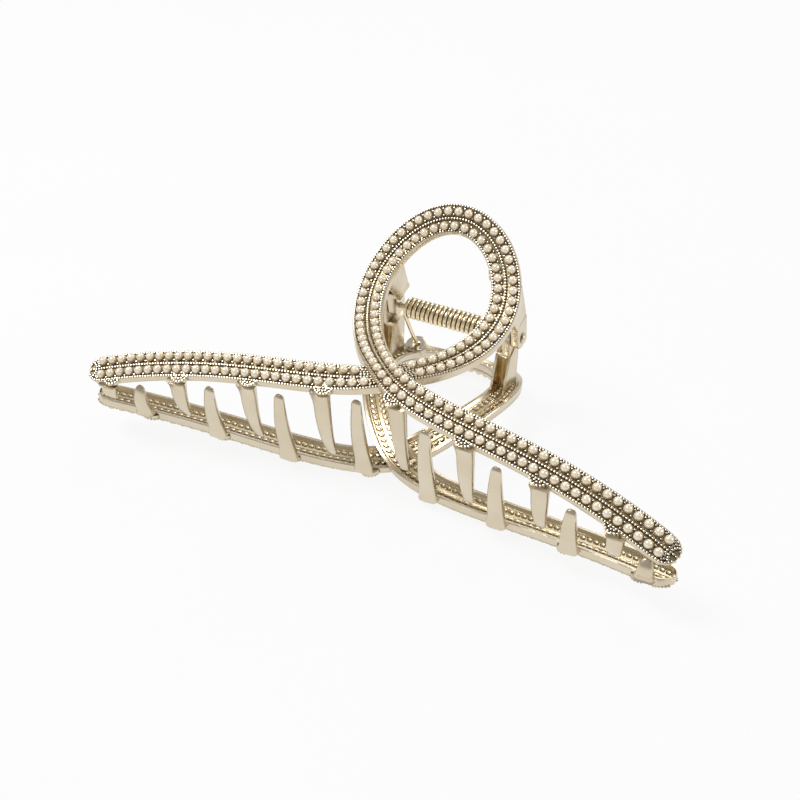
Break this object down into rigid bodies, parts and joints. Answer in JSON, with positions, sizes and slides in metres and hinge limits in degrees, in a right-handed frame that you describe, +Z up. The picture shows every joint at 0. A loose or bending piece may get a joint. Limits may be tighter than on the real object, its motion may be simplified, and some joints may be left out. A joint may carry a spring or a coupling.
{
  "type": "claw clip",
  "caption": "Metal claw clip for gathering hair: two knotted jaws set with rows of pearls, sprung closed on a hinge pin.",
  "frame": {"origin": "bottom centre of the whole clip's box, as the clip lies on its rear jaw", "axes": "+X along the hinge pin and the jaws' length, +Y towards the handle loops, +Z up"},
  "size_m": [0.1306, 0.064, 0.0485],
  "materials": {
    "gold_casting": "pale gold plate, satin on the teeth and bright on the beaded borders",
    "gold_wire": "bright drawn spring wire, gold plated",
    "gold_pin": "polished pin, gold plated",
    "pearl": "ivory pearl coating, glossy"
  },
  "bodies": {
    "rear_jaw": {"rear_jaw": "gold_casting", "hinge_pin": "gold_pin", "torsion_spring": "gold_wire", "rear_left_arm_upper_pearls": "pearl", "rear_left_arm_lower_pearls": "pearl", "rear_right_arm_upper_pearls": "pearl", "rear_right_arm_lower_pearls": "pearl", "rear_crossing_pearls": "pearl", "rear_loop_left_pearls": "pearl", "rear_loop_right_pearls": "pearl", "rear_loop_tip_pearls": "pearl"},
    "front_jaw": {"front_jaw": "gold_casting", "front_left_arm_upper_pearls": "pearl", "front_left_arm_lower_pearls": "pearl", "front_right_arm_upper_pearls": "pearl", "front_right_arm_lower_pearls": "pearl", "front_crossing_pearls": "pearl", "front_loop_left_pearls": "pearl", "front_loop_right_pearls": "pearl", "front_loop_tip_pearls": "pearl"}
  },
  "joints": [
    {"name": "jaw_hinge", "type": "hinge", "parent": "rear_jaw", "child": "front_jaw", "pos_m": [0, 0.01596, 0.02225], "axis": [-1, 0, 0], "range_deg": [0, 55], "stiffness_Nm_per_rad": 0.1, "springref_deg": -34.38, "deforming": ["torsion_spring"]}
  ]
}
